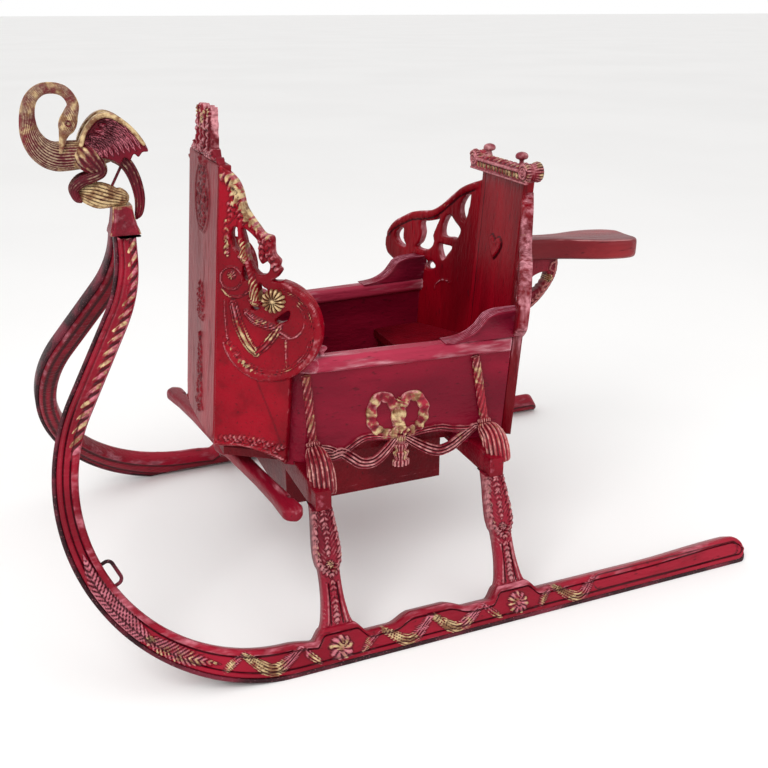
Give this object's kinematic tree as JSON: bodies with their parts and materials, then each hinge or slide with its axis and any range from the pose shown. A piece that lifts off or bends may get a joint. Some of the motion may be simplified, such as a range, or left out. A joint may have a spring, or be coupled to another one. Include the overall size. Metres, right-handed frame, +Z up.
{
  "type": "child sleigh",
  "caption": "Child's push sleigh: carved red-painted tub with pierced wings, driver's saddle and swingletree, on leaning runners whose horns meet under a looped-neck swan.",
  "frame": {"origin": "on the floor under the middle of the overall length and width", "axes": "+X forward to the figurehead, +Y to the rider's left, +Z up"},
  "size_m": [1.063, 0.72, 0.7697],
  "materials": {
    "red_paint": "worn crimson oil paint on carved wood",
    "dark_red_paint": "dark red paint inside the tub",
    "gilded_red": "red paint with rubbed gilding on carved ribbons and ropes",
    "aged_gilding": "aged olive gold leaf rubbed back to red",
    "polished_saddle": "brownish red paint polished by use",
    "black_iron": "dark forged iron"
  },
  "bodies": {
    "sleigh": {"arm_scroll_left": "red_paint", "arm_scroll_right": "red_paint", "back_capital": "red_paint", "back_panel": "red_paint", "bird_body": "aged_gilding", "bird_tail": "aged_gilding", "bird_wing_left": "aged_gilding", "bird_wing_right": "aged_gilding", "body_floor": "dark_red_paint", "bolster_front_left": "red_paint", "bolster_front_right": "red_paint", "bolster_rear": "red_paint", "bud": "aged_gilding", "capital_knobs": "red_paint", "footwell_floor": "dark_red_paint", "footwell_front": "dark_red_paint", "footwell_rear": "dark_red_paint", "footwell_side_left": "dark_red_paint", "footwell_side_right": "dark_red_paint", "front_crest": "red_paint", "front_panel": "red_paint", "front_wing_left": "red_paint", "front_wing_right": "red_paint", "horn_block": "red_paint", "post_front_left": "red_paint", "post_front_right": "red_paint", "post_rear_left": "red_paint", "post_rear_right": "red_paint", "rail_knob_left": "red_paint", "rail_knob_right": "red_paint", "rear_wing_left": "red_paint", "rear_wing_right": "red_paint", "rope_front_left": "gilded_red", "rope_front_right": "gilded_red", "rope_rear_left": "gilded_red", "rope_rear_right": "gilded_red", "runner_iron_left": "black_iron", "runner_iron_right": "black_iron", "runner_left": "red_paint", "runner_right": "red_paint", "saddle": "polished_saddle", "saddle_bracket": "red_paint", "seat_board": "dark_red_paint", "seat_riser": "dark_red_paint", "side_bow_left": "aged_gilding", "side_bow_right": "aged_gilding", "side_festoon_left": "gilded_red", "side_festoon_right": "gilded_red", "side_panel_left": "red_paint", "side_panel_right": "red_paint", "side_rail_left": "red_paint", "side_rail_right": "red_paint", "swingletree_pin": "black_iron", "tow_staple_left": "black_iron", "tow_staple_right": "black_iron", "wing_rosette_left": "aged_gilding", "wing_rosette_right": "aged_gilding"},
    "swingletree": {"swingletree": "red_paint"}
  },
  "joints": [
    {"name": "swingletree_pivot", "type": "hinge", "parent": "sleigh", "child": "swingletree", "pos_m": [0.254, 0, 0.198], "axis": [0, 0, 1], "range_deg": [-17, 1]}
  ]
}
